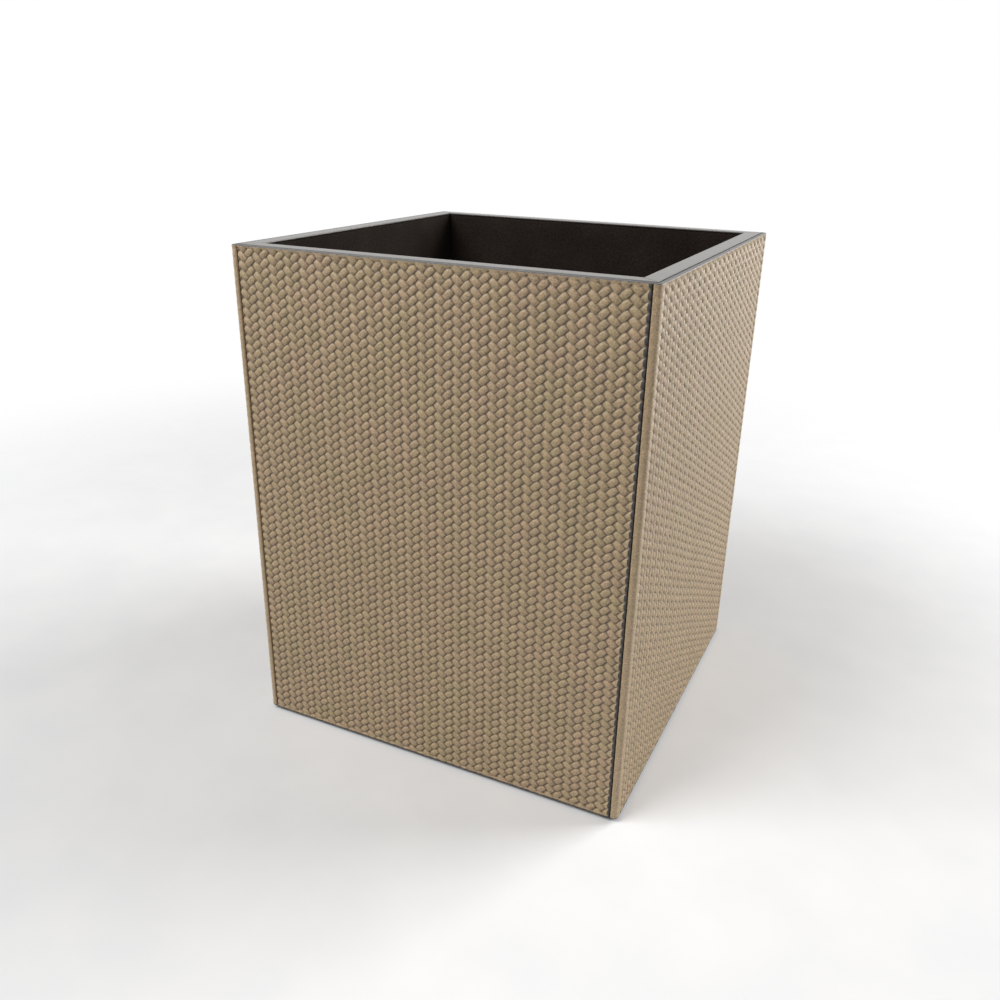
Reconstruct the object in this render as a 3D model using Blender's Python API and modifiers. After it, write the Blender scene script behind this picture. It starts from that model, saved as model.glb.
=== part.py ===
"""Square leather-covered wastebasket, in metres, +Z up, standing on the XY plane with its centre on Z.

A box of rebated fibreboard carries everything. Two leather sheets wrap the left and right sides and turn
round the vertical corners, flat leather panels fill the front and back between them, a mitred rim covers
the board tops, a dark lining covers the inside, and four pads keep the cover of the underside off the floor.
"""

import math

import bmesh
import bpy

MM = 0.001

# Overall size
WIDTH = 250 * MM
DEPTH = 246 * MM
HEIGHT = 310 * MM

# Sheets and boards
LEATHER_THICKNESS = 2.5 * MM
BOARD_THICKNESS = 9 * MM
BASE_THICKNESS = 9 * MM
LINING_THICKNESS = 0.8 * MM
COVER_THICKNESS = 0.8 * MM
RIM_THICKNESS = 1.2 * MM

# Joints of the carcass
CORNER_REBATE = 4.5 * MM
BASE_REBATE = 5 * MM

# Leather edges and corners
LEATHER_INNER_RADIUS = 0.5 * MM
WRAP_FLAT = 1.3 * MM
LEATHER_EDGE_ROUND = 0.8 * MM
LEATHER_SETBACK = 0.3 * MM
CORNER_STEPS = 6

# Rim
RIM_GROOVE = 0.9 * MM
RIM_EDGE_ROUND = 0.3 * MM

# Feet
PAD_DIAMETER = 22 * MM
PAD_THICKNESS = 2 * MM
PAD_INSET = 12 * MM
PAD_EDGE_ROUND = 0.3 * MM
PAD_SIDES = 40

# Clearance between pieces that touch, and how far a cutter runs past what it cuts
GAP = 0.3 * MM
CUT_OVER = 5 * MM

# Leather planes, as distances from the centre
LEATHER_X = WIDTH / 2
LEATHER_Y = DEPTH / 2
LEATHER_BACK_X = LEATHER_X - LEATHER_THICKNESS
LEATHER_BACK_Y = LEATHER_Y - LEATHER_THICKNESS
CORNER_RADIUS = LEATHER_THICKNESS + LEATHER_INNER_RADIUS
WRAP_END_X = LEATHER_X - CORNER_RADIUS - WRAP_FLAT

# Board planes
BOARD_X = LEATHER_BACK_X - GAP
BOARD_Y = LEATHER_BACK_Y - GAP
BOARD_IN_X = BOARD_X - BOARD_THICKNESS
BOARD_IN_Y = BOARD_Y - BOARD_THICKNESS

# Lining planes
LINING_X = BOARD_IN_X - GAP
LINING_Y = BOARD_IN_Y - GAP
LINING_IN_X = LINING_X - LINING_THICKNESS
LINING_IN_Y = LINING_Y - LINING_THICKNESS

# Heights, from the floor up
COVER_BOTTOM = PAD_THICKNESS + GAP
CARCASS_BOTTOM = COVER_BOTTOM + COVER_THICKNESS + GAP
BASE_TOP = CARCASS_BOTTOM + BASE_THICKNESS
FLOOR_LINING_TOP = BASE_TOP + GAP + LINING_THICKNESS
RIM_BOTTOM = HEIGHT - RIM_THICKNESS
CARCASS_TOP = RIM_BOTTOM - GAP
LEATHER_TOP = HEIGHT - LEATHER_SETBACK


def clear_scene():
    for found in list(bpy.data.objects):
        bpy.data.objects.remove(found, do_unlink=True)


def new_collection(name):
    collection = bpy.data.collections.new(name)
    bpy.context.scene.collection.children.link(collection)
    return collection


def linear(channel):
    """One sRGB channel from 0 to 255, as the linear value that a shader takes."""
    value = channel / 255
    if value <= 0.04045:
        return value / 12.92
    return ((value + 0.055) / 1.055) ** 2.4


def new_material(name, srgb, roughness):
    material = bpy.data.materials.new(name)
    material.use_nodes = True
    shader = material.node_tree.nodes["Principled BSDF"]
    shader.inputs["Base Color"].default_value = (*[linear(channel) for channel in srgb], 1)
    shader.inputs["Roughness"].default_value = roughness
    shader.inputs["Metallic"].default_value = 0
    return material


def place(name, data, material, location, turn=0.0):
    """Puts one sub-part in the object's collection, under the empty that carries them all."""
    data.materials.append(material)
    part = bpy.data.objects.new(name, data)
    part.location = location
    part.rotation_euler.z = turn
    part.parent = carrier
    parts.objects.link(part)
    return part


def box_mesh(name, size):
    """A box of the given size, centred on its own origin."""
    mesh = bpy.data.meshes.new(name)
    shape = bmesh.new()
    bmesh.ops.create_cube(shape, size=1)
    bmesh.ops.scale(shape, vec=size, verts=shape.verts)
    shape.to_mesh(mesh)
    shape.free()
    return mesh


def cut(part, name, low, high):
    """Takes the box from low to high, in the part's own axes, out of the part."""
    size = [high[axis] - low[axis] for axis in range(3)]
    cutter = bpy.data.objects.new(name, box_mesh(name, size))
    cutter.location = [(high[axis] + low[axis]) / 2 for axis in range(3)]
    cutter.parent = part
    cutter.hide_render = True
    cutter.display_type = "WIRE"
    cutters.objects.link(cutter)
    boolean = part.modifiers.new(name, "BOOLEAN")
    boolean.operation = "DIFFERENCE"
    boolean.solver = "EXACT"
    boolean.object = cutter


def round_edges(part, width, segments):
    """Rounds the edges that turn more than 60 degrees, and leaves the facets of an arc as they are."""
    bevel = part.modifiers.new("rounded_edges", "BEVEL")
    bevel.limit_method = "ANGLE"
    bevel.angle_limit = math.radians(60)
    bevel.width = width
    bevel.segments = segments
    bevel.use_clamp_overlap = False


def arc(centre, radius, start, end, steps):
    """Points of an arc in plan, from one angle to the other in degrees."""
    angles = [math.radians(start + (end - start) * step / steps) for step in range(steps + 1)]
    return [(centre[0] + radius * math.cos(a), centre[1] + radius * math.sin(a)) for a in angles]


def sheet_mesh(name, path, bottom, top):
    """An upright open sheet along a plan path, facing the right-hand side of the walk along it."""
    mesh = bpy.data.meshes.new(name)
    shape = bmesh.new()
    corners = [shape.verts.new((x, y, bottom)) for x, y in path]
    edges = [shape.edges.new(pair) for pair in zip(corners, corners[1:])]
    raised = bmesh.ops.extrude_edge_only(shape, edges=edges)
    lifted = [item for item in raised["geom"] if isinstance(item, bmesh.types.BMVert)]
    bmesh.ops.translate(shape, vec=(0, 0, top - bottom), verts=lifted)
    bmesh.ops.recalc_face_normals(shape, faces=shape.faces)
    shape.normal_update()
    walk = corners[1].co - corners[0].co
    if corners[0].link_faces[0].normal.dot((walk.y, -walk.x, 0)) < 0:
        bmesh.ops.reverse_faces(shape, faces=shape.faces)
    shape.to_mesh(mesh)
    shape.free()
    return mesh


def leather_panel(name, path, location, turn):
    """One leather sheet: its grain side follows the path, its thickness goes inward, its edges are rounded."""
    height = LEATHER_TOP - COVER_BOTTOM
    mesh = sheet_mesh(name, path, -height / 2, height / 2)
    part = place(name, mesh, leather, location, turn)
    solidify = part.modifiers.new("leather_thickness", "SOLIDIFY")
    solidify.thickness = LEATHER_THICKNESS
    solidify.offset = -1
    solidify.use_even_offset = True
    round_edges(part, LEATHER_EDGE_ROUND, 2)


def flat_piece(name, outline, thickness, edge_round, material, location, turn):
    """A flat outline with a thickness, as a filled 2D curve whose caps are welded before its edges are rounded."""
    curve = bpy.data.curves.new(name, "CURVE")
    curve.dimensions = "2D"
    curve.fill_mode = "BOTH"
    curve.extrude = thickness / 2
    spline = curve.splines.new("POLY")
    spline.points.add(len(outline) - 1)
    for point, (x, y) in zip(spline.points, outline):
        point.co = (x, y, 0, 1)
    spline.use_cyclic_u = True
    part = place(name, curve, material, location, turn)
    weld = part.modifiers.new("joined_caps", "WELD")
    weld.merge_threshold = 0.01 * MM
    round_edges(part, edge_round, 1)


def front_and_back_boards():
    """Full-width boards with a rebate up each end for the side boards and one along the bottom for the base."""
    half_height = (CARCASS_TOP - CARCASS_BOTTOM) / 2
    half_thickness = BOARD_THICKNESS / 2
    centre_y = BOARD_Y - half_thickness
    for name, turn in (("front_board", 0), ("back_board", math.pi)):
        mesh = box_mesh(name, (2 * BOARD_X, BOARD_THICKNESS, 2 * half_height))
        location = (0, -math.cos(turn) * centre_y, CARCASS_BOTTOM + half_height)
        board = place(name, mesh, fibreboard, location, turn)
        shoulder = BOARD_IN_X - GAP
        rebate_y = half_thickness - CORNER_REBATE
        for end, start, stop in (("left", -BOARD_X - CUT_OVER, -shoulder), ("right", shoulder, BOARD_X + CUT_OVER)):
            low = (start, rebate_y, -half_height - CUT_OVER)
            high = (stop, half_thickness + CUT_OVER, half_height + CUT_OVER)
            cut(board, f"{name}_{end}_rebate", low, high)
        low = (-BOARD_X - 2 * CUT_OVER, half_thickness - BASE_REBATE, -half_height - 2 * CUT_OVER)
        high = (BOARD_X + 2 * CUT_OVER, half_thickness + 2 * CUT_OVER, -half_height + BASE_THICKNESS + GAP)
        cut(board, f"{name}_base_rebate", low, high)


def left_and_right_boards():
    """Side boards whose ends stand in the rebates of the front and back, with a rebate for the base."""
    half_height = (CARCASS_TOP - CARCASS_BOTTOM) / 2
    half_thickness = BOARD_THICKNESS / 2
    half_length = BOARD_IN_Y + CORNER_REBATE - GAP
    centre_x = BOARD_X - half_thickness
    for name, turn in (("right_board", 0), ("left_board", math.pi)):
        mesh = box_mesh(name, (BOARD_THICKNESS, 2 * half_length, 2 * half_height))
        location = (math.cos(turn) * centre_x, 0, CARCASS_BOTTOM + half_height)
        board = place(name, mesh, fibreboard, location, turn)
        low = (-half_thickness - CUT_OVER, -half_length - CUT_OVER, -half_height - CUT_OVER)
        high = (-half_thickness + BASE_REBATE, half_length + CUT_OVER, -half_height + BASE_THICKNESS + GAP)
        cut(board, f"{name}_base_rebate", low, high)


def base_board():
    """The bottom, let into the rebates of all four boards and flush with their lower edges."""
    half_x = BOARD_IN_X + BASE_REBATE - GAP
    half_y = BOARD_IN_Y + BASE_REBATE - GAP
    mesh = box_mesh("base_board", (2 * half_x, 2 * half_y, BASE_THICKNESS))
    place("base_board", mesh, fibreboard, (0, 0, CARCASS_BOTTOM + BASE_THICKNESS / 2))


def side_leather():
    """Left and right sheets: each turns round both of its vertical corners and ends on the front and back."""
    centre_x = LEATHER_X - CORNER_RADIUS
    centre_y = LEATHER_Y - CORNER_RADIUS
    path = [(WRAP_END_X, -LEATHER_Y)]
    path += arc((centre_x, -centre_y), CORNER_RADIUS, -90, 0, CORNER_STEPS)
    path += arc((centre_x, centre_y), CORNER_RADIUS, 0, 90, CORNER_STEPS)
    path += [(WRAP_END_X, LEATHER_Y)]
    location = (0, 0, (LEATHER_TOP + COVER_BOTTOM) / 2)
    for name, turn in (("right_leather_panel", 0), ("left_leather_panel", math.pi)):
        leather_panel(name, path, location, turn)


def front_and_back_leather():
    """Flat panels that fill the space between the wrapped corners."""
    half_x = WRAP_END_X - GAP
    path = [(-half_x, -LEATHER_Y), (half_x, -LEATHER_Y)]
    location = (0, 0, (LEATHER_TOP + COVER_BOTTOM) / 2)
    for name, turn in (("front_leather_panel", 0), ("back_leather_panel", math.pi)):
        leather_panel(name, path, location, turn)


def rim_strips():
    """Four mitred strips over the tops of the boards and the lining."""
    outer_x = LEATHER_BACK_X - RIM_GROOVE
    outer_y = LEATHER_BACK_Y - RIM_GROOVE
    mitre_gap = GAP / math.sqrt(2)
    height = (HEIGHT + RIM_BOTTOM) / 2
    across = [(-outer_x + mitre_gap, -outer_y), (outer_x - mitre_gap, -outer_y)]
    across += [(LINING_IN_X - mitre_gap, -LINING_IN_Y), (-LINING_IN_X + mitre_gap, -LINING_IN_Y)]
    along = [(outer_x, -outer_y + mitre_gap), (outer_x, outer_y - mitre_gap)]
    along += [(LINING_IN_X, LINING_IN_Y - mitre_gap), (LINING_IN_X, -LINING_IN_Y + mitre_gap)]
    strips = (("front_rim_strip", across, 0), ("back_rim_strip", across, math.pi))
    strips += (("right_rim_strip", along, 0), ("left_rim_strip", along, math.pi))
    for name, outline, turn in strips:
        flat_piece(name, outline, RIM_THICKNESS, RIM_EDGE_ROUND, rim_leather, (0, 0, height), turn)


def lining_sheets():
    """Four wall linings that stand on the floor lining and end under the rim."""
    bottom = FLOOR_LINING_TOP + GAP
    middle = (CARCASS_TOP + bottom) / 2
    height = CARCASS_TOP - bottom
    centre_x = LINING_X - LINING_THICKNESS / 2
    centre_y = LINING_Y - LINING_THICKNESS / 2
    for name, side in (("front_lining", -1), ("back_lining", 1)):
        mesh = box_mesh(name, (2 * LINING_X, LINING_THICKNESS, height))
        place(name, mesh, lining, (0, side * centre_y, middle))
    for name, side in (("left_lining", -1), ("right_lining", 1)):
        mesh = box_mesh(name, (LINING_THICKNESS, 2 * (LINING_IN_Y - GAP), height))
        place(name, mesh, lining, (side * centre_x, 0, middle))
    mesh = box_mesh("floor_lining", (2 * LINING_X, 2 * LINING_Y, LINING_THICKNESS))
    place("floor_lining", mesh, lining, (0, 0, FLOOR_LINING_TOP - LINING_THICKNESS / 2))


def underside_cover():
    """A thin sheet that hides the joints of the carcass from below."""
    mesh = box_mesh("underside_cover", (2 * BOARD_X, 2 * BOARD_Y, COVER_THICKNESS))
    place("underside_cover", mesh, cover_cloth, (0, 0, COVER_BOTTOM + COVER_THICKNESS / 2))


def pads():
    """Four round felt pads under the corners."""
    reach_x = BOARD_X - PAD_INSET - PAD_DIAMETER / 2
    reach_y = BOARD_Y - PAD_INSET - PAD_DIAMETER / 2
    for row, y in (("front", -reach_y), ("back", reach_y)):
        for column, x in (("left", -reach_x), ("right", reach_x)):
            name = f"{row}_{column}_pad"
            mesh = bpy.data.meshes.new(name)
            shape = bmesh.new()
            radius = PAD_DIAMETER / 2
            size = {"radius1": radius, "radius2": radius, "depth": PAD_THICKNESS}
            bmesh.ops.create_cone(shape, cap_ends=True, segments=PAD_SIDES, **size)
            shape.to_mesh(mesh)
            shape.free()
            mesh.shade_smooth()
            mesh.set_sharp_from_angle(angle=math.radians(30))
            pad = place(name, mesh, felt, (x, y, PAD_THICKNESS / 2))
            round_edges(pad, PAD_EDGE_ROUND, 1)


clear_scene()
parts = new_collection("wastebasket")
cutters = new_collection("wastebasket_cutters")
carrier = bpy.data.objects.new("wastebasket_centre", None)
parts.objects.link(carrier)

fibreboard = new_material("fibreboard", (172, 146, 112), 0.85)
leather = new_material("embossed_tan_leather", (160, 141, 117), 0.55)
rim_leather = new_material("smooth_dark_leather", (44, 38, 34), 0.3)
lining = new_material("dark_suede_lining", (46, 41, 38), 0.95)
cover_cloth = new_material("dark_underside_sheet", (36, 33, 31), 0.8)
felt = new_material("black_felt", (28, 27, 27), 1.0)

front_and_back_boards()
left_and_right_boards()
base_board()
side_leather()
front_and_back_leather()
rim_strips()
lining_sheets()
underside_cover()
pads()
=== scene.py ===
# %% [markdown]
# # A square waste basket in embossed leather
# The real basket is a fibreboard box. Tan leather, pressed with a plaited pattern, covers the
# outside. A smooth leather strip lies on the rim, dark suede lines the inside, and four felt pads
# keep it off the floor. The CAD model already has each piece at its right place and size, so this
# file loads it as a fixed frame and adds what CAD leaves out: the relief of the leather, its
# painted edges, the nap of the lining, and the light.

import bpy
import numpy as np
from mathutils import Matrix, Vector


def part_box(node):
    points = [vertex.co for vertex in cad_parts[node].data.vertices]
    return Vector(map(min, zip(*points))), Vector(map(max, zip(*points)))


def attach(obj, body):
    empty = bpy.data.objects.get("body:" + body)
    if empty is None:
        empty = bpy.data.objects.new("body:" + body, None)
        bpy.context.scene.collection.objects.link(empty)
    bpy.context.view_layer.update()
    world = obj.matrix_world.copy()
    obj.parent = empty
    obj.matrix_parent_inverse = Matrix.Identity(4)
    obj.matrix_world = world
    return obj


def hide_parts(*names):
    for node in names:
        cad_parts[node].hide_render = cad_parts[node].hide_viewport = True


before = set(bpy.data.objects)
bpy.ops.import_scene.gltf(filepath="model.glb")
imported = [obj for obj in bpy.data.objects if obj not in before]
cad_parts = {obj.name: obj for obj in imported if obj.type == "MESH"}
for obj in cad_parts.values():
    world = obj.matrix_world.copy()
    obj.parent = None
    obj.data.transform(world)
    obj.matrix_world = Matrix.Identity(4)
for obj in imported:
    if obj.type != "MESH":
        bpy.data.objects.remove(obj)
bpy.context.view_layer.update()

# %% [markdown]
# ## The camera
# A camera could be placed by eye, but then no edge would meet its twin in the photograph. This
# one was solved from the basket's straight edges: where it stands, where it looks, and how far it
# leans to one side. The lens follows from the solved focal length of 914 pixels on an image 1000
# pixels wide, for a sensor 36 mm wide.

# %% Camera
IMAGE_WIDTH = 1000
FOCAL_PIXELS = 914.44
SENSOR_MM = 36.0
CAMERA_PLACE = Vector((0.24023, -0.53188, 0.37719))
CAMERA_LOOK = Vector((-0.39613, 0.83375, -0.38463)).normalized()
CAMERA_UP = Vector((-0.18316, 0.33873, 0.92288)).normalized()

camera_data = bpy.data.cameras.new("photo_camera")
camera_data.sensor_width = SENSOR_MM
camera_data.lens = FOCAL_PIXELS * SENSOR_MM / IMAGE_WIDTH
camera = bpy.data.objects.new("photo_camera", camera_data)
camera_turn = Matrix((CAMERA_LOOK.cross(CAMERA_UP), CAMERA_UP, -CAMERA_LOOK)).transposed()
camera.matrix_world = Matrix.Translation(CAMERA_PLACE) @ camera_turn.to_4x4()
bpy.context.scene.collection.objects.link(camera)
bpy.context.scene.camera = camera
print("camera: lens", round(camera_data.lens, 2), "mm")

# %% [markdown]
# ## Colours and nodes
# Colours are written as the hex values a paint chart or an image editor shows. Blender's shaders
# count in linear light, so one function turns the first into the second. A second small function
# adds a node, sets its options and fills its inputs: a plain number is set on the socket, and
# another node's output is linked to it.


# %% Hex colour to linear light
def linear(code):
    """A hex colour as linear red, green, blue and alpha: each channel is divided by 12.92 when
    dark, and otherwise shifted by 0.055, divided by 1.055 and raised to the power 2.4."""
    channel = np.array([int(code[i:i + 2], 16) for i in (0, 2, 4)]) / 255
    light = np.where(channel <= 0.04045, channel / 12.92, ((channel + 0.055) / 1.055) ** 2.4)
    return (*light.tolist(), 1.0)


print("mid grey 808080 is", round(linear("808080")[0], 3), "in linear light")


# %% Add one node
def add(tree, kind, options=None, **inputs):
    """Adds a node of a kind to a tree and returns its outputs. options are its settings, and
    inputs its sockets by name or, as _0, by number."""
    made = tree.nodes.new(kind)
    for name, value in (options or {}).items():
        setattr(made, name, value)
    for name, value in inputs.items():
        socket = made.inputs[int(name[1:]) if name[0] == "_" else name.replace("_", " ")]
        if isinstance(value, bpy.types.NodeSocket):
            tree.links.new(value, socket)
        else:
            socket.default_value = value
    return made.outputs


# %% Start a material
MM = 0.001


def new_material(name):
    """A material with an empty node tree, and Object coordinates in millimetres to draw its
    pattern on, so the Scale of a pattern is a count to a millimetre."""
    material = bpy.data.materials.new(name)
    material.use_nodes = True
    tree = material.node_tree
    tree.nodes.clear()
    place = add(tree, "ShaderNodeTexCoord")["Object"]
    mm = add(tree, "ShaderNodeVectorMath", {"operation": "SCALE"}, _0=place, Scale=1 / MM)[0]
    print("material:", name)
    return material, tree, mm


# %% [markdown]
# ## Meshes from arrays
# Every new piece is worked out as arrays of points in millimetres and put into a mesh in one go.
# Values that a material needs, such as the distance to a cut edge, travel with the points as
# attributes.


# %% Arrays to an object
def make_piece(name, points, faces, flat_faces, material, slot, replaces, values=None, tint=()):
    """One object at the origin: points in mm become metres, faces are shaded smooth and
    flat_faces flat. values holds one array per attribute, with a number for each point; tint has
    one for each of the first faces."""
    mesh = bpy.data.meshes.new(name)
    mesh.from_pydata(np.asarray(points, float) * MM, [], [*faces, *flat_faces])
    smooth = np.concatenate([np.ones(len(faces), bool), np.zeros(len(flat_faces), bool)])
    mesh.polygons.foreach_set("use_smooth", smooth)
    for label, array in (values or {}).items():
        carried = mesh.attributes.new(label, "FLOAT", "POINT")
        carried.data.foreach_set("value", np.asarray(array, np.float32))
    if len(tint):
        whole = np.concatenate([tint, np.zeros(len(smooth) - len(tint))])
        carried = mesh.attributes.new("tint", "FLOAT", "FACE")
        carried.data.foreach_set("value", whole.astype(np.float32))
    mesh.update()
    mesh.materials.append(material)
    piece = bpy.data.objects.new(name, mesh)
    bpy.context.scene.collection.objects.link(piece)
    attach(piece, "root")
    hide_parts(*replaces)
    corners = np.empty(len(mesh.polygons), np.int32)
    mesh.polygons.foreach_get("loop_total", corners)
    print(f"{name}: {(corners - 2).sum()} triangles")


# %% Border of a grid
def border(columns, rows):
    """The border of a grid, once round from its first corner: along the bottom, up, back along
    the top and down."""
    across = np.arange(columns)
    up = np.arange(rows)
    i = np.concatenate([across, np.full(rows - 1, columns - 1), across[-2::-1],
                        np.zeros(rows - 2, int)])
    j = np.concatenate([np.zeros(columns, int), up[1:], np.full(columns - 1, rows - 1),
                        up[-2:0:-1]])
    return i, j


print("border of a grid of 3 by 4 points:", len(border(3, 4)[0]), "points")


# %% Faces of a closed sheet
def closed_sheet(front, back, values):
    """One closed skin from two grids of points. The front grid is taken whole. Of the back grid
    only the border is taken: walls join it to the front's border, and upright strips close it, so
    the back is as light as it can be."""
    columns, rows = front.shape[:2]
    index = np.arange(columns * rows).reshape(columns, rows)
    quads = np.stack([index[:-1, :-1], index[1:, :-1], index[1:, 1:], index[:-1, 1:]], -1)
    i, j = border(columns, rows)
    edge = index[i, j]
    rear = columns * rows + np.arange(len(i))
    walls = np.stack([edge, rear, np.roll(rear, -1), np.roll(edge, -1)], -1)
    low = rear[:columns]
    end = rear[columns - 1:columns + rows - 1]
    high = rear[columns + rows - 2:2 * columns + rows - 2][::-1]
    start = np.concatenate([low[:1], rear[:2 * columns + rows - 3:-1], high[:1]])
    strips = np.stack([low[1:-2], high[1:-2], high[2:-1], low[2:-1]], -1)
    ends = [[*start.tolist(), int(high[1]), int(low[1])],
            [int(low[-2]), int(high[-2]), *end[::-1].tolist()]]
    points = np.concatenate([front.reshape(-1, 3), back[i, j]])
    carried = {label: np.concatenate([a.ravel(), a[i, j]]) for label, a in values.items()}
    faces = [*quads.reshape(-1, 4).tolist(), *walls.tolist()]
    return points, faces, [*strips.tolist(), *ends], carried


# %% [markdown]
# ## The plait
# The leather carries an embossed plait. It copies flat strands laid at 45 degrees that pass over
# and under each other, so what shows is a herringbone: columns of bumps that lean right and left
# in turn, about five millimetres from one to the next. The bumps that lean right stand apart, and
# those that lean left almost touch. A bump map would look flat at the edges, and thousands of
# separate bumps would be far too heavy. So the plait is one surface over two counts: *p* counts
# columns and *q* counts rows. The grid's lines follow the sides of the bumps, so the grooves lie
# along the mesh and stay crisp with few faces. The sizes were matched to the average bump that
# shows on the front and on the right side.

# %% Size of the plait
COLUMN = 5.245  # mm from one column to the next
ROW = 5.23  # mm from one bump to the next, up a column
RISE = 0.37  # rows that the grid's lines climb over a column
HOOK = 0.25  # columns that the end of a bump reaches between its neighbours
RELIEF = 1.45  # mm from the deepest groove to the crowns
ALONG = np.array([0.0, 0.14, 0.5, 0.86])  # upright grid lines in each column
ACROSS = np.array([0.0, 0.1, 0.25, 0.4, 0.5, 0.6, 0.75, 0.9])  # level grid lines in each row
print("plait: one bump every", COLUMN, "mm across and", ROW, "mm up")


# %% Where the grid's lines go
def zigzag(p):
    """Goes from -RISE / 2 to RISE / 2 of a row over an even column and back over the next. Half a
    row would put the lines on the seams of the herringbone; a little less moves them into the
    grooves, under the ends of the bumps."""
    k = np.floor(p)
    return np.where(k % 2 == 0, RISE, -RISE) * (p - k - 0.5)


def hook(p, q):
    """How far a point is drawn sideways, in columns: the sides of the columns zigzag by HOOK,
    once a row and against each other, so that the end of each bump reaches between two of its
    neighbours. From one side of a column to the other the shift changes evenly."""
    k = np.floor(p)
    sign = np.where(k % 2 == 0, 1, -1)
    tent = 4 * np.abs(q % 1 - 0.5) - 1
    return sign * HOOK * tent * (1 - 2 * (p - k))


print("grid: its lines climb", round(RISE * ROW, 2), "mm and hook", round(HOOK * COLUMN, 2), "mm")


# %% Shape of a bump
# Where there are two values, they are for a bump that leans right and for one that leans left.
BUMP_LENGTH = (3.54, 3.39)  # mm from the middle to an end
BUMP_WIDTH = (2.06, 2.19)  # mm from the middle to a side
POINTED = (2.46, 3.29)  # power of the place along it
FLATTENED = 4.5  # power of the place across it
STEEPNESS = 0.88  # power of the whole, below 1 for steeper sides
LEANING_UP = 0.08  # share by which a right bump rises to its upper side
LEANING_OUT = 0.11  # share by which a left bump rises to its lower end
UNEVEN = 0.16  # share by which the lowest bump stands lower
SCATTER = (12.9898, 78.233, 43758.5453)


def chance(k, row):
    """A number from 0 to 1 for each bump, the same on every run: the fraction of a large sine of
    its two counts, each times an uneven number."""
    return np.abs(np.sin(k * SCATTER[0] + row * SCATTER[1]) * SCATTER[2]) % 1


def bump(dx, dz, k, row):
    """Height of one bump at an offset from its middle, which leans right in even columns and left
    in odd ones: an oblong turned by 45 degrees, 1 less powers of the places along and across it.
    The low power makes its ends pointed and the high one its back flat. A right bump is a little
    higher on its upper side, and a left one at its lower end, where it lies over its neighbour."""
    right = k % 2 == 0
    lean = np.where(right, 1, -1)
    along = (dx + lean * dz) / np.sqrt(2) / np.where(right, *BUMP_LENGTH)
    across = (dz - lean * dx) / np.sqrt(2) / np.where(right, *BUMP_WIDTH)
    dome = 1 - np.abs(along) ** np.where(right, *POINTED) - np.abs(across) ** FLATTENED
    slope = 1 + np.where(right, LEANING_UP * across, LEANING_OUT * along)
    top = (1 + LEANING_OUT / 2) / (1 - UNEVEN * chance(k, row))
    return np.clip(dome, 0, 1) ** STEEPNESS * slope / top


# %% Height of the plait
def plait(p, q):
    """Height from 0 in the grooves to 1 on a crown: the highest of the nine bumps next to a
    point. The bumps of an odd column stand half a row lower than those of an even one."""
    heights = []
    for i in (-1, 0, 1):
        k = np.floor(p) + i
        row = np.floor(q + 0.5 * (k % 2))
        dx = COLUMN * (p - k - 0.5)
        dz = ROW * (q + 0.5 * (k % 2) - row - 0.5)
        heights += [bump(dx, dz - ROW * j, k, row + j) for j in (-1, 0, 1)]
    return np.maximum.reduce(heights)


sample = plait(*np.meshgrid(np.linspace(0, 2, 81), np.linspace(0, 1, 41)))
print("plait: mean height", round(sample.mean(), 3), "of its relief")


# %% [markdown]
# ## The embossed hide
# Each covering is a sheet of cowhide about 2.5 mm thick, dyed tan and pressed between hot plates.
# The grooves are painted darker, as painted shade that deepens the shade falling into them, and no
# two bumps take the colour quite alike. Black edge paint finishes the trimmed edges at the top and
# bottom, and one upright edge of each flat sheet, where it creeps further over the ends of the
# bumps, so the line looks like a string of beads. At the bottom cut the dark band is twice as
# wide, as edge paint and painted shade from under the basket. The other upright edges are glued
# down bare. Attributes carried by the mesh tell the material where the crowns and the painted
# edges are.

# %% Embossed cowhide
# Pressed and waxed hide gives the eye soft highlights on the crowns and dull grooves; the grooves
# also carry painted shade.
hide, tree, mm = new_material("embossed_cowhide_edge_painted")
crown = add(tree, "ShaderNodeAttribute", {"attribute_name": "crown"})["Fac"]
trim = add(tree, "ShaderNodeAttribute", {"attribute_name": "trim_mm"})["Fac"]
joint = add(tree, "ShaderNodeAttribute", {"attribute_name": "joint_mm"})["Fac"]
tint = add(tree, "ShaderNodeAttribute", {"attribute_name": "tint"})["Fac"]

# %% Tone of the hide
# Clouds of dye about 14 mm across turn the tan to olive and rose. Real pores are a few tenths of
# a millimetre apart and would not show, so they are drawn coarser, about 0.9 mm apart.
clouds = add(tree, "ShaderNodeTexNoise", Vector=mm, Scale=0.07, Detail=3.0)["Fac"]
pores = add(tree, "ShaderNodeTexNoise", Vector=mm, Scale=1.1, Detail=3.0, Roughness=0.7)["Fac"]
cloud_mix = add(tree, "ShaderNodeMapRange", Value=clouds, From_Min=0.35, From_Max=0.65)[0]
tan = add(tree, "ShaderNodeMix", {"data_type": "RGBA"}, _0=cloud_mix,
          _6=linear("A6916D"), _7=linear("AB9172"))[2]
tint_value = add(tree, "ShaderNodeMapRange", Value=tint, To_Min=0.93, To_Max=1.05)[0]
pore_value = add(tree, "ShaderNodeMapRange", Value=pores, From_Min=0.3, From_Max=0.7,
                 To_Min=0.55, To_Max=1.4)[0]
tone = add(tree, "ShaderNodeMath", {"operation": "MULTIPLY"}, _0=tint_value, _1=pore_value)[0]
# Painted shade: the colour darkens towards the bottom of a groove, to 0.15 of itself, and is full
# from about halfway up; it stands in for the shade that falls into the grooves.
painted_groove_shade = add(tree, "ShaderNodeMapRange", Value=crown, From_Min=0.05, From_Max=0.52,
             To_Min=0.15, To_Max=1.0)[0]
value = add(tree, "ShaderNodeMath", {"operation": "MULTIPLY"}, _0=tone, _1=painted_groove_shade)[0]
dyed_and_shaded = add(tree, "ShaderNodeHueSaturation", Value=value, Color=tan)[0]
print("tone of the hide:", len(tree.nodes), "nodes so far")
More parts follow.
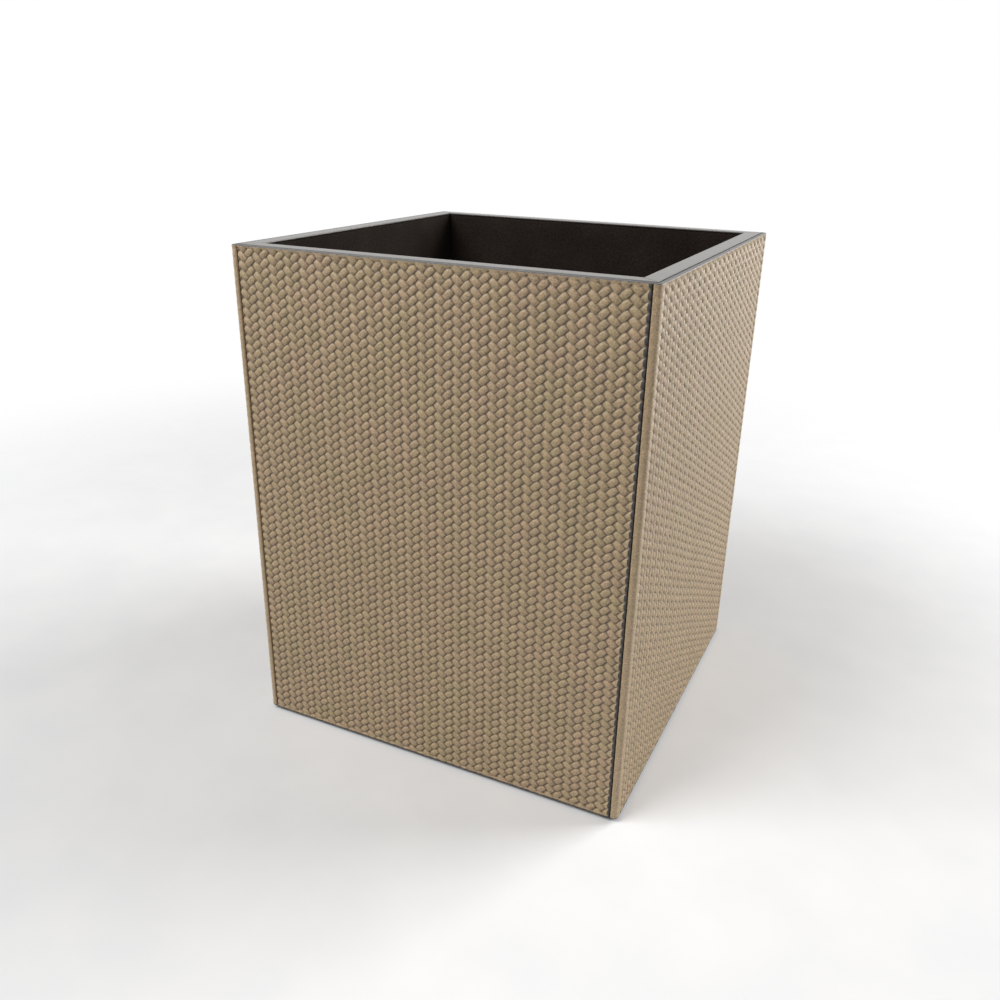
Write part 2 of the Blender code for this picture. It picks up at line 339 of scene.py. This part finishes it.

# %% Edge paint on the hide
# The paint covers a cut edge and fades out within a millimetre of it. At a joint it reaches
# further, and furthest on the crowns. At the bottom cut the band is twice as wide, as edge paint
# and painted shade from under the basket. These values are in millimetres.
WANDER = 0.7
CROWN_REACH = 1.3
TRIM_FADE = (0.6, 0.25)
JOINT_FADE = (0.85, 0.5)
wobble = add(tree, "ShaderNodeTexNoise", Vector=mm, Scale=0.8, Detail=2.0)["Fac"]
uneven = add(tree, "ShaderNodeMath", {"operation": "MULTIPLY_ADD"}, _0=wobble, _1=WANDER,
             _2=-WANDER / 2)[0]
from_trim = add(tree, "ShaderNodeMath", {"operation": "ADD"}, _0=trim, _1=uneven)[0]
trim_paint_and_base_shade = add(tree, "ShaderNodeMapRange", Value=from_trim, From_Min=TRIM_FADE[0],
                 From_Max=TRIM_FADE[1])[0]
reach = add(tree, "ShaderNodeMath", {"operation": "MULTIPLY_ADD"}, _0=crown, _1=-CROWN_REACH,
            _2=joint)[0]
from_joint = add(tree, "ShaderNodeMath", {"operation": "ADD"}, _0=reach, _1=uneven)[0]
joint_paint = add(tree, "ShaderNodeMapRange", Value=from_joint, From_Min=JOINT_FADE[0],
                  From_Max=JOINT_FADE[1])[0]
edge_paint_and_base_shade = add(tree, "ShaderNodeMath", {"operation": "MAXIMUM"}, _0=trim_paint_and_base_shade, _1=joint_paint)[0]
covered = add(tree, "ShaderNodeMix", {"data_type": "RGBA"}, _0=edge_paint_and_base_shade, _6=dyed_and_shaded,
              _7=linear("130F0D"))[2]
print("edge paint:", len(tree.nodes), "nodes so far")

# %% Gloss and grain of the hide
# The crowns are polished by the press, the paint is smoother still, and a thin wax coats it all.
gloss = add(tree, "ShaderNodeMapRange", Value=crown, To_Min=0.62, To_Max=0.48)[0]
shine = add(tree, "ShaderNodeMix", {"data_type": "FLOAT"}, _0=edge_paint_and_base_shade, _2=gloss, _3=0.4)[0]
grain = add(tree, "ShaderNodeBump", Strength=1.0, Distance=0.35 * MM, Height=pores)[0]
surface = add(tree, "ShaderNodeBsdfPrincipled", Base_Color=covered, Roughness=shine, IOR=1.5,
              Normal=grain, Coat_Weight=0.45, Coat_Roughness=0.45)[0]
add(tree, "ShaderNodeOutputMaterial", Surface=surface)
print("hide:", len(tree.nodes), "nodes")

# %% [markdown]
# ## Laying the hide
# The front and back carry flat sheets. The two side sheets are longer: they turn round the
# upright corners and end on the front and back, a few millimetres in, where they meet the flat
# sheets. Each sheet is a grid on a path seen from above. Its relief goes inwards from the path,
# so the crowns lie where the CAD sheet's outer face is. Towards the top and bottom cuts the
# grid's slanted lines level out, and the surface rolls back over the edge.

# %% Grid lines of a sheet
TRIM_ROLL = 0.7  # mm, radius of the top and bottom cuts
JOINT_ROLL = 0.7  # mm, radius of the upright cuts
ROLL_STEPS = np.array([0.0, 0.13, 0.5, 1.0])  # grid lines over a rounded cut, in radii
CLEAR = 0.25  # mm kept free between a rounded cut and the plait's own lines


def grid_lines(low, high, origin, pitch, steps, roll):
    """Places of the lines between two cuts: a few that round each cut edge, and between them
    every step of every pitch counted from an origin."""
    count = np.arange(np.floor((low - origin) / pitch), np.ceil((high - origin) / pitch) + 1)
    inner = (origin + pitch * (count[:, None] + steps)).ravel()
    inner = inner[(inner > low + roll + CLEAR) & (inner < high - roll - CLEAR)]
    return np.concatenate([low + roll * ROLL_STEPS, inner, high - roll * ROLL_STEPS[::-1]])


# %% Easing and rolling
def ease(x, start, length):
    """0 before start, 1 after start plus length, and three x squared less two x cubed between
    them."""
    t = np.clip((x - start) / length, 0, 1)
    return t * t * (3 - 2 * t)


def roll_off(distance, radius):
    """How far a rounded edge falls away: a quarter circle of that radius, measured by the
    distance from the cut."""
    inside = np.clip(radius - distance, 0, radius)
    return radius - np.sqrt(radius ** 2 - inside ** 2)


# %% Lay one sheet
HIDE_THICKNESS = 2.5  # mm
CLOSEST = 0.06  # mm, below which two grid lines count as one
LEVEL_OUT = 5  # mm over which the lines level out towards the top and bottom
HOOK_IN = 3  # mm over which the hooks begin beside an upright cut
PULL_IN = 12  # mm over which the slow waves begin there
PULL_ACROSS = 0.22  # mm by which the slow waves shift the plait sideways
PULL_UP = 0.25  # mm by which they shift it up
PULL_WAVES = (19, 31, 23, 37)  # mm for each radian of the waves
PULL_BEND = 1.7  # radians by which one wave bends the other
PRESS_START = 0.2  # mm from the top or bottom cut to where the relief begins
PRESS_LENGTH = 1.6  # mm over which it becomes full


def lay_hide(path, length, low, high, first_column, first_row, tilt, extra=(), keep=None, bare=0):
    """A closed sheet of embossed hide along a path of a given length, between two heights. The
    depth below the path is the relief times (1 - plait height), plus what the rounded cuts take
    away. Rows are tilted by a small slope, and slow sine waves shift the plait by a quarter of a
    millimetre, as hide that was pulled flat. The distance from the bottom cut is halved, so the
    dark band there is twice as wide: edge paint and painted shade from under the basket. Where an
    end has none, bare mm are added."""
    s = grid_lines(0, length, first_column, COLUMN, ALONG, JOINT_ROLL)
    s = np.unique(np.concatenate([s, extra]).round(3))
    s = s[np.concatenate([[True], np.diff(s) > CLOSEST])]
    z = grid_lines(low, high, first_row, ROW, ACROSS, TRIM_ROLL)
    across, up = np.meshgrid(s, z, indexing="ij")
    joint_mm = np.minimum(across, length - across)
    trim_mm = np.minimum(up - low, high - up)
    p = (across - first_column) / COLUMN
    follow = ease(trim_mm, TRIM_ROLL, LEVEL_OUT)
    up = up + follow * (ROW * zigzag(p) - tilt * (across - length / 2))
    q = (up - first_row + tilt * (across - length / 2)) / ROW - zigzag(p)
    drawn = follow * ease(joint_mm, JOINT_ROLL, HOOK_IN) * hook(p, q)
    crown = plait(p + drawn, q + zigzag(p))
    across = across + COLUMN * drawn
    wave = np.sin(up / PULL_WAVES[0] + np.sin(across / PULL_WAVES[1]))
    across = across + follow * ease(joint_mm, JOINT_ROLL, PULL_IN) * PULL_ACROSS * wave
    wave = np.sin(across / PULL_WAVES[2] + PULL_BEND * np.sin(up / PULL_WAVES[3]))
    up = up + follow * PULL_UP * wave
    pressed = ease(trim_mm, PRESS_START, PRESS_LENGTH) * (1 if keep is None else keep(across))
    crown = 1 - pressed * (1 - crown)
    depth = RELIEF * (1 - crown) + roll_off(trim_mm, TRIM_ROLL) + roll_off(joint_mm, JOINT_ROLL)
    place, outward = path(across)
    front = np.concatenate([place - outward * depth[..., None], up[..., None]], -1)
    back = np.concatenate([place - outward * HIDE_THICKNESS, up[..., None]], -1)
    k = np.floor((p[1:, 1:] + p[:-1, :-1]) / 2)
    tint = chance(k, np.floor((q[1:, 1:] + q[:-1, :-1]) / 2 + 0.5 * (k % 2)) + 0.5)
    # Halving the distance from the bottom cut doubles the dark band there: edge paint and painted
    # shade from under the basket.
    values = {"crown": crown, "trim_mm": np.minimum((up - low) / 2, high - up),
              "joint_mm": length - across + bare}
    return *closed_sheet(front, back, values), tint.ravel()


# %% Path of the flat sheets
low, high = (np.array(corner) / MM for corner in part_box("front_leather_panel"))


def flat_path(s):
    """A straight path along the front, from left to right, that faces the viewer."""
    place = np.stack([low[0] + s, np.full_like(s, low[1])], -1)
    return place, np.broadcast_to((0.0, -1.0), place.shape)


def half_turn(points):
    """The same points, turned half round the basket's upright axis."""
    return points * (-1, -1, 1)


# %% Front and back sheets
FRONT_BUMP = (3.15, 1.55)  # mm, middle of one bump: right of the basket's middle, above the floor
FRONT_COLUMN = FRONT_BUMP[0] - COLUMN / 2 - low[0]
FRONT_ROW = FRONT_BUMP[1] - ROW / 2
FRONT_TILT = 0.0099  # mm that a row falls for each mm to the right
hide_points, hide_faces, hide_back, hide_values, hide_tint = lay_hide(
    flat_path, high[0] - low[0], low[2], high[2], FRONT_COLUMN, FRONT_ROW, FRONT_TILT)
make_piece("front_plaited_leather", hide_points, hide_faces, hide_back, hide, "embossed_leather",
           ["front_leather_panel"], hide_values, hide_tint)
make_piece("back_plaited_leather", half_turn(hide_points), hide_faces, hide_back, hide,
           "embossed_leather", ["back_leather_panel"], hide_values, hide_tint)

# %% Path of the side sheets
CORNER_RADIUS = 3.0  # mm
QUARTER = 4  # grid lines or points round a quarter circle
low, high = (np.array(corner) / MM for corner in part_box("right_leather_panel"))
RETURN = high[0] - CORNER_RADIUS - low[0]
TURN = CORNER_RADIUS * np.pi / 2
SIDE = high[1] - low[1] - 2 * CORNER_RADIUS
GIRTH = 2 * RETURN + 2 * TURN + SIDE
print("side sheet:", round(GIRTH, 1), "mm round")


def wrapped_path(s):
    """From the front joint a short straight, a quarter circle, the whole side, a quarter circle
    and a straight: the angle turned so far follows from s, and the place is a point that slides
    along the side plus the radius outwards."""
    turned = np.clip(s - RETURN, 0, TURN) + np.clip(s - RETURN - TURN - SIDE, 0, TURN)
    angle = turned / CORNER_RADIUS - np.pi / 2
    outward = np.stack([np.cos(angle), np.sin(angle)], -1)
    x = low[0] + np.clip(s, 0, RETURN) - np.clip(s - (GIRTH - RETURN), 0, RETURN)
    y = low[1] + CORNER_RADIUS + np.clip(s - RETURN - TURN, 0, SIDE)
    return np.stack([x, y], -1) + outward * CORNER_RADIUS, outward


# %% Side sheets, turned round the corners
SIDE_COLUMN = -4.0  # mm along the path, where a column starts
SIDE_ROW = 3.1  # mm above the floor, where a row starts
SIDE_TILT = -0.006  # mm that a row falls for each mm along the path
BARE_END = 3.0  # mm added to the distance from the end, so that it takes no paint
CORNER_KEEP = 0.2  # share of the relief left on a corner
CORNER_EASE = 3  # mm over which it becomes full on the side
corner_lines = RETURN + TURN * np.linspace(0, 1, QUARTER)


def corner_keep(s):
    """The share of the relief that is left: 1 on the side, and CORNER_KEEP where the hide is
    stretched over a corner and pressed flat beyond it."""
    eased = ease(np.minimum(s, GIRTH - s), RETURN + TURN, CORNER_EASE)
    return CORNER_KEEP + (1 - CORNER_KEEP) * eased


hide_points, hide_faces, hide_back, hide_values, hide_tint = lay_hide(
    wrapped_path, GIRTH, low[2], high[2], SIDE_COLUMN, SIDE_ROW, SIDE_TILT,
    [*corner_lines, *(GIRTH - corner_lines)], corner_keep, BARE_END)
make_piece("right_plaited_leather", hide_points, hide_faces, hide_back, hide, "embossed_leather",
           ["right_leather_panel"], hide_values, hide_tint)
make_piece("left_plaited_leather", half_turn(hide_points), hide_faces, hide_back, hide,
           "embossed_leather", ["left_leather_panel"], hide_values, hide_tint)

# %% [markdown]
# ## The rim
# Four smooth strips of dark, polished leather lie on the top edges of the box and meet in mitres
# at the corners. A strip is a profile carried along its length: a flat oblong with a slightly
# crowned top and rounded edges. Each point of the profile runs to the mitre, so the strips' ends
# are cut at 45 degrees. The CAD strips stop 0.2 mm short of the mitre, and here the pressed
# leather closes that gap. A ring of points close to each end keeps the shading flat up to the
# cut. Seen at a low angle the polish mirrors the bright room, so a dark strip looks pale.

# %% Polished strip leather
# Plated and polished leather gives the eye an almost even, satin mirror. Its mottle is about 4 mm
# across. The hair follicles are drawn about 0.6 mm apart, coarser than real ones.
strip, tree, mm = new_material("polished_strip_leather")
mottle = add(tree, "ShaderNodeTexNoise", Vector=mm, Scale=0.25, Detail=4.0)["Fac"]
strip_tone = add(tree, "ShaderNodeMapRange", Value=mottle, From_Min=0.3, From_Max=0.7)[0]
strip_colour = add(tree, "ShaderNodeMix", {"data_type": "RGBA"}, _0=strip_tone,
                   _6=linear("38332C"), _7=linear("443E35"))[2]
strip_rough = add(tree, "ShaderNodeMapRange", Value=mottle, To_Min=0.28, To_Max=0.4)[0]
follicles = add(tree, "ShaderNodeTexVoronoi", Vector=mm, Scale=1.6)["Distance"]
strip_bump = add(tree, "ShaderNodeBump", Strength=0.12, Distance=0.1 * MM, Height=follicles)[0]
strip_shader = add(tree, "ShaderNodeBsdfPrincipled", Base_Color=strip_colour, IOR=1.5,
                   Roughness=strip_rough, Coat_Weight=0.35, Coat_Roughness=0.25,
                   Normal=strip_bump)[0]
add(tree, "ShaderNodeOutputMaterial", Surface=strip_shader)

# %% Profile of a strip
STRIP_ROUND = 0.35  # mm, radius of its edges
STRIP_CROWN = 0.02  # mm by which its top is arched
STRIP_STEPS = 9  # points over the flat of its top


def strip_profile(width, thickness):
    """A closed oblong from the inner edge round to itself: a quarter circle at each corner, and a
    top that rises by a shallow arch in the middle. Returns the place across the width and the
    height of each point."""
    turn = np.linspace(0, np.pi / 2, QUARTER)
    flat = np.linspace(STRIP_ROUND, width - STRIP_ROUND, STRIP_STEPS)[1:-1]
    r = STRIP_ROUND
    across = np.concatenate([r - r * np.cos(turn), flat, width - r + r * np.sin(turn),
                             width - r + r * np.cos(turn), r - r * np.sin(turn)])
    up = np.concatenate([thickness - r + r * np.sin(turn), np.full(len(flat), thickness),
                         thickness - r + r * np.cos(turn),
                         r - r * np.sin(turn), r - r * np.cos(turn)])
    arch = STRIP_CROWN * (1 - (2 * across / width - 1) ** 2)
    return across, up - np.where(up > thickness / 2, STRIP_CROWN - arch, 0)


# %% Carry the profile along each side
MITRE_CLOSE = 0.2  # mm that each end reaches further than the CAD strip
END_RING = 0.9996  # share of the length at which the ring beside each end lies
STRIP_RINGS = 39  # rings of points along a strip, without its ends


def rim_strip(name, node, along, side):
    """A strip on one side: along is the axis it runs on, side the sign of the axis it lies
    across. On two of the sides the points run the other way round, so the faces are turned."""
    low, high = (np.array(corner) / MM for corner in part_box(node))
    over = 1 - along
    across, up = strip_profile(high[over] - low[over], high[2] - low[2])
    inner, outer = (low[over], high[over]) if side > 0 else (-high[over], -low[over])
    reach = (high[along] - low[along]) / 2 - (outer - inner) + across + MITRE_CLOSE
    steps = np.concatenate([[-1], np.linspace(-END_RING, END_RING, STRIP_RINGS), [1]])
    points = np.zeros((len(steps), len(across), 3))
    points[..., along] = steps[:, None] * reach
    points[..., over] = side * (inner + across)
    points[..., 2] = low[2] + up
    index = np.arange(len(steps) * len(across)).reshape(len(steps), -1)
    turned = np.roll(index, -1, 1)
    quads = np.stack([index[:-1], index[1:], turned[1:], turned[:-1]], -1).reshape(-1, 4)
    caps = [index[0].tolist(), index[-1, ::-1].tolist()]
    if (side > 0) != (along == 0):
        quads, caps = quads[:, ::-1], [cap[::-1] for cap in caps]
    make_piece(name, points.reshape(-1, 3), quads.tolist(), caps, strip, "rim_leather", [node])


rim_strip("front_rim_band", "front_rim_strip", 0, -1)
rim_strip("back_rim_band", "back_rim_strip", 0, 1)
rim_strip("left_rim_band", "left_rim_strip", 1, -1)
rim_strip("right_rim_band", "right_rim_strip", 1, 1)

# %% [markdown]
# ## The lining
# Dark suede is glued to the inside of the walls and the bottom. Glued suede is never quite flat:
# it follows the brush marks of the glue, so each sheet gets a swell of a tenth of a millimetre.
# Its nap scatters light evenly and has hardly any gloss, and rubbed places look a little lighter.

# %% Brushed suede
# Brushed fibres give the eye a deep, matt brown with a fine speckle. Rubbed places are about
# 30 mm across. The nap is drawn about 1 mm apart, much coarser than the fibres, so that it shows.
suede, tree, mm = new_material("brushed_suede")
rubbed = add(tree, "ShaderNodeTexNoise", Vector=mm, Scale=0.035, Detail=4.0)["Fac"]
nap = add(tree, "ShaderNodeTexNoise", Vector=mm, Scale=0.9, Detail=3.0, Roughness=0.7)["Fac"]
rub_value = add(tree, "ShaderNodeMapRange", Value=rubbed, From_Min=0.3, From_Max=0.7,
                To_Min=0.8, To_Max=1.2)[0]
nap_value = add(tree, "ShaderNodeMapRange", Value=nap, From_Min=0.3, From_Max=0.7,
                To_Min=0.35, To_Max=1.65)[0]
suede_value = add(tree, "ShaderNodeMath", {"operation": "MULTIPLY"}, _0=rub_value,
                  _1=nap_value)[0]
suede_colour = add(tree, "ShaderNodeHueSaturation", Value=suede_value, Color=linear("2A231F"))[0]
nap_bump = add(tree, "ShaderNodeBump", Strength=0.4, Distance=0.2 * MM, Height=nap)[0]
suede_shader = add(tree, "ShaderNodeBsdfPrincipled", Base_Color=suede_colour, Roughness=0.95,
                   IOR=1.4, Normal=nap_bump, Specular_IOR_Level=0.12)[0]
add(tree, "ShaderNodeOutputMaterial", Surface=suede_shader)

# %% A glued sheet on any face
SHEET_LINES = (34, 38)  # grid lines along and up a sheet, between its rounded edges
SWELL_IN = 12  # mm over which the swell begins at an edge
SWELL_WAVES = ((17, 23), (13, 29))  # mm for each radian of its waves
SWELL_BENDS = (1.3, 0.7)  # radians by which one wave bends the other


def face_lines(size, edge, count):
    """Places of the lines over one size of a sheet: a few that round each edge, and even steps
    between them."""
    inner = np.linspace(edge, size - edge, count)[1:-1]
    return np.concatenate([edge * ROLL_STEPS, inner, size - edge * ROLL_STEPS[::-1]])


def glued_sheet(origin, along, up, size, thickness, swell, edge):
    """A closed sheet from an origin corner, over two directions and a size. Its outer face sinks
    by a swell of slow sine waves and rolls off at its edges; the outward direction is along
    crossed with up."""
    outward = np.cross(along, up)
    u, v = np.meshgrid(*(face_lines(size[i], edge, SHEET_LINES[i]) for i in (0, 1)),
                       indexing="ij")
    (first, bent), (second, turned) = SWELL_WAVES
    wave = np.sin(u / first + SWELL_BENDS[0] * np.sin(v / bent))
    wave = wave + np.sin(v / second + SWELL_BENDS[1] * np.sin(u / turned))
    inside = np.minimum(np.minimum(u, size[0] - u), np.minimum(v, size[1] - v))
    depth = swell * (0.5 + 0.25 * wave) * ease(inside, 0, SWELL_IN) + roll_off(inside, edge)
    flat = origin + u[..., None] * along + v[..., None] * up
    return closed_sheet(flat - outward * depth[..., None], flat - outward * thickness, {})[:3]


# %% Wall and floor linings
SUEDE_SWELL = 0.12  # mm
SHEET_ROUND = 0.25  # mm, radius of a sheet's edges


def line_face(name, node, along, material, slot, swell):
    """Lays a glued sheet over a CAD sheet: along points along its face so that along crossed with
    the second direction faces the room, and the thickness is the sheet's smallest size."""
    low, high = (np.array(corner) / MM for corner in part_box(node))
    size = high - low
    thin = int(np.argmin(size))
    along = np.array(along, float)
    up = np.array((0, 0, 1.0)) if thin != 2 else np.array((0, 1.0, 0)) * along[0]
    outward = np.cross(along, up)
    origin = np.where(along + up + outward > 0, low, high)
    origin = origin + np.where(outward != 0, outward * size, 0)
    flat = (abs(along) @ size, abs(up) @ size)
    sheet = glued_sheet(origin, along, up, flat, size[thin], swell, SHEET_ROUND)
    make_piece(name, *sheet, material, slot, [node])


line_face("front_suede_lining", "front_lining", (-1, 0, 0), suede, "lining", SUEDE_SWELL)
line_face("back_suede_lining", "back_lining", (1, 0, 0), suede, "lining", SUEDE_SWELL)
line_face("left_suede_lining", "left_lining", (0, 1, 0), suede, "lining", SUEDE_SWELL)
line_face("right_suede_lining", "right_lining", (0, -1, 0), suede, "lining", SUEDE_SWELL)
line_face("floor_suede_lining", "floor_lining", (1, 0, 0), suede, "lining", SUEDE_SWELL)

# %% [markdown]
# ## Underneath
# A thin black cover cloth hides the board joints from below. It is a fleece of pressed fibres, so
# its surface is a soft tangle and not a weave. Four round pads of grey felt are glued to it.

# %% Fleece cover
# Pressed fibres give the eye a dull, cloudy black. The tangle is drawn about 1.2 mm across,
# coarser than the fibres, so that it shows.
CLOTH_SWELL = 0.1  # mm
fleece, tree, mm = new_material("pressed_fibre_cloth")
tangle = add(tree, "ShaderNodeTexNoise", Vector=mm, Scale=0.8, Detail=5.0, Distortion=1.5)["Fac"]
fleece_tone = add(tree, "ShaderNodeMapRange", Value=tangle, From_Min=0.3, From_Max=0.7)[0]
fleece_colour = add(tree, "ShaderNodeMix", {"data_type": "RGBA"}, _0=fleece_tone,
                    _6=linear("1C1B1A"), _7=linear("302E2C"))[2]
fleece_bump = add(tree, "ShaderNodeBump", Strength=0.4, Distance=0.2 * MM, Height=tangle)[0]
fleece_shader = add(tree, "ShaderNodeBsdfPrincipled", Base_Color=fleece_colour, Roughness=0.9,
                    IOR=1.45, Normal=fleece_bump)[0]
add(tree, "ShaderNodeOutputMaterial", Surface=fleece_shader)
line_face("underside_fibre_cloth", "underside_cover", (-1, 0, 0), fleece, "underside_sheet",
          CLOTH_SWELL)

# %% Wool felt
# Felted wool gives the eye a grey without gloss, with lighter and darker wisps. They are drawn
# about 0.8 mm across, coarser than the fibres.
felt, tree, mm = new_material("wool_felt")
fibres = add(tree, "ShaderNodeTexNoise", Vector=mm, Scale=1.2, Detail=5.0, Distortion=2.0)["Fac"]
felt_tone = add(tree, "ShaderNodeMapRange", Value=fibres, From_Min=0.3, From_Max=0.7)[0]
felt_colour = add(tree, "ShaderNodeMix", {"data_type": "RGBA"}, _0=felt_tone,
                  _6=linear("2A2827"), _7=linear("4C4A48"))[2]
felt_bump = add(tree, "ShaderNodeBump", Strength=0.6, Distance=0.3 * MM, Height=fibres)[0]
felt_shader = add(tree, "ShaderNodeBsdfPrincipled", Base_Color=felt_colour, Roughness=1.0,
                  IOR=1.45, Normal=felt_bump)[0]
add(tree, "ShaderNodeOutputMaterial", Surface=felt_shader)

# %% Felt pads
PAD_ROUND = 0.45  # mm, radius of a pad's edges
PAD_RINGS = [1.0, 4.0, 8.0]  # mm, radii of the rings on its flat faces
PAD_STEPS = 72  # points round it
WAVER = 0.008  # share by which its radius wavers
WAVER_TURNS = (9, 14)  # waves in a full turn


def felt_pad(name, node):
    """A disc turned from a profile: flat below and above, with a rounded edge whose radius wavers
    with the angle, as a punched edge of felt does. The two small rings left at the middle are
    closed by a face each."""
    low, high = (np.array(corner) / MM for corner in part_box(node))
    middle, radius, thick = (low + high) / 2, (high[0] - low[0]) / 2, high[2] - low[2]
    turn = np.linspace(0, np.pi / 2, QUARTER)
    r = PAD_ROUND
    reach = np.concatenate([PAD_RINGS, radius - r + r * np.sin(turn),
                            radius - r + r * np.cos(turn), PAD_RINGS[::-1]])
    up = np.concatenate([np.zeros(len(PAD_RINGS)), r - r * np.cos(turn),
                         thick - r + r * np.sin(turn), np.full(len(PAD_RINGS), thick)])
    angle = np.linspace(0, 2 * np.pi, PAD_STEPS, endpoint=False)
    slow, quick = WAVER_TURNS
    waver = 1 - WAVER * (1 + np.sin(slow * angle) * np.sin(quick * angle + 1))
    distance = reach * np.where(reach > PAD_RINGS[-1], waver[:, None], 1)
    points = np.stack([middle[0] + distance * np.cos(angle)[:, None],
                       middle[1] + distance * np.sin(angle)[:, None],
                       np.broadcast_to(low[2] + up, distance.shape)], -1)
    index = np.arange(distance.size).reshape(distance.shape)
    turned = np.roll(index, -1, 0)
    quads = np.stack([index[:, :-1], turned[:, :-1], turned[:, 1:], index[:, 1:]], -1)
    caps = [index[::-1, 0].tolist(), index[:, -1].tolist()]
    make_piece(name, points.reshape(-1, 3), quads.reshape(-1, 4).tolist(), caps, felt, "felt",
               [node])


for corner in ("front_left", "front_right", "back_left", "back_right"):
    felt_pad(corner + "_felt_pad", corner + "_pad")

# %% [markdown]
# ## The boards
# The fibreboard box is hidden, but for a dark line in the groove beside the rim. Its CAD shapes
# are right, so they stay, and only get a finish: pressed wood fibre, brown and slightly flecked,
# dyed dark so that no pale line shows.

# %% Dyed fibreboard
# Pressed and dyed fibre gives the eye a dull brown. The flecks are about 1 mm across.
board, tree, mm = new_material("dyed_fibreboard")
flecks = add(tree, "ShaderNodeTexNoise", Vector=mm, Scale=0.9, Detail=4.0)["Fac"]
board_tone = add(tree, "ShaderNodeMapRange", Value=flecks, From_Min=0.3, From_Max=0.7)[0]
board_colour = add(tree, "ShaderNodeMix", {"data_type": "RGBA"}, _0=board_tone,
                   _6=linear("2B221B"), _7=linear("43362B"))[2]
board_shader = add(tree, "ShaderNodeBsdfPrincipled", Base_Color=board_colour, Roughness=0.8,
                   IOR=1.5)[0]
add(tree, "ShaderNodeOutputMaterial", Surface=board_shader)
boards = [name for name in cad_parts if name.endswith("_board")]
for name in boards:
    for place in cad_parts[name].material_slots:
        place.material = board
print("boards:", len(boards))

# %% [markdown]
# ## Floor and light
# The room is bright and almost without shadows: a pale floor, and light from above, from the left
# of the front and, stronger, from behind on the right, so that it strikes the right side at a low
# angle. Two large soft lamps give that. The world is white to the camera and to reflections, and
# gives only part of that as light. The floor fades out with distance so that no horizon shows.

# %% Floor
# Matt paint gives the eye an even, pale grey. Its faint clouds are about 50 mm across.
FLOOR_HALF = 3.0  # metres
FADE_START, FADE_END = 350.0, 950.0  # mm from the middle
floor_paint, tree, mm = new_material("pale_matt_floor")
far = add(tree, "ShaderNodeVectorMath", {"operation": "LENGTH"}, _0=mm)["Value"]
fade = add(tree, "ShaderNodeMapRange", {"interpolation_type": "SMOOTHSTEP"}, Value=far,
           From_Min=FADE_START, From_Max=FADE_END)[0]
dust = add(tree, "ShaderNodeTexNoise", Vector=mm, Scale=0.02, Detail=3.0)["Fac"]
dust_tone = add(tree, "ShaderNodeMapRange", Value=dust, From_Min=0.3, From_Max=0.7)[0]
floor_colour = add(tree, "ShaderNodeMix", {"data_type": "RGBA"}, _0=dust_tone,
                   _6=linear("E6E6E7"), _7=linear("EAEAEA"))[2]
matt = add(tree, "ShaderNodeBsdfDiffuse", Color=floor_colour)[0]
clear = add(tree, "ShaderNodeBsdfTransparent")[0]
faded = add(tree, "ShaderNodeMixShader", _0=fade, _1=matt, _2=clear)[0]
add(tree, "ShaderNodeOutputMaterial", Surface=faded)
floor_mesh = bpy.data.meshes.new("floor")
floor_corners = FLOOR_HALF * np.array([(-1, -1, 0), (1, -1, 0), (1, 1, 0), (-1, 1, 0)], float)
floor_mesh.from_pydata(floor_corners, [], [(0, 1, 2, 3)])
floor_mesh.materials.append(floor_paint)
floor = bpy.data.objects.new("floor", floor_mesh)
bpy.context.scene.collection.objects.link(floor)

# %% White room
ROOM_LIGHT = 0.18  # share of the room's white that reaches surfaces as light
world = bpy.data.worlds.new("white_room")
bpy.context.scene.world = world
world.use_nodes = True
tree = world.node_tree
tree.nodes.clear()
ray = add(tree, "ShaderNodeLightPath")
seen = add(tree, "ShaderNodeMath", {"operation": "MAXIMUM"}, _0=ray["Is Camera Ray"],
           _1=ray["Is Glossy Ray"])[0]
seen = add(tree, "ShaderNodeMath", {"operation": "MAXIMUM"}, _0=seen,
           _1=ray["Is Transmission Ray"])[0]
level = add(tree, "ShaderNodeMapRange", Value=seen, To_Min=ROOM_LIGHT, To_Max=1.0)[0]
room = add(tree, "ShaderNodeBackground", Color=(1, 1, 1, 1), Strength=level)[0]
add(tree, "ShaderNodeOutputWorld", Surface=room)
print("room light:", ROOM_LIGHT)


# %% Soft lamps
def soft_lamp(name, place, aim, size, watts):
    """A square lamp of a given side that looks from one point to another."""
    data = bpy.data.lights.new(name, "AREA")
    data.size = size
    data.energy = watts
    lamp = bpy.data.objects.new(name, data)
    look = (Vector(aim) - Vector(place)).to_track_quat("-Z", "Y")
    lamp.matrix_world = Matrix.Translation(place) @ look.to_matrix().to_4x4()
    bpy.context.scene.collection.objects.link(lamp)
    print("lamp:", name, watts, "W")


soft_lamp("front_left_lamp", place=(-0.62, -0.84, 1.3), aim=(-0.03, -0.1, 0.2), size=1.0, watts=21)
soft_lamp("right_lamp", place=(1.33, 1.25, 1.13), aim=(0.1, 0, 0.2), size=1.3, watts=45)

# %% [markdown]
# ## Finish
# The last cell sets the view transform to Standard and brings the scene up to date.

# %% Finish
bpy.context.scene.view_settings.view_transform = "Standard"
bpy.context.view_layer.update()
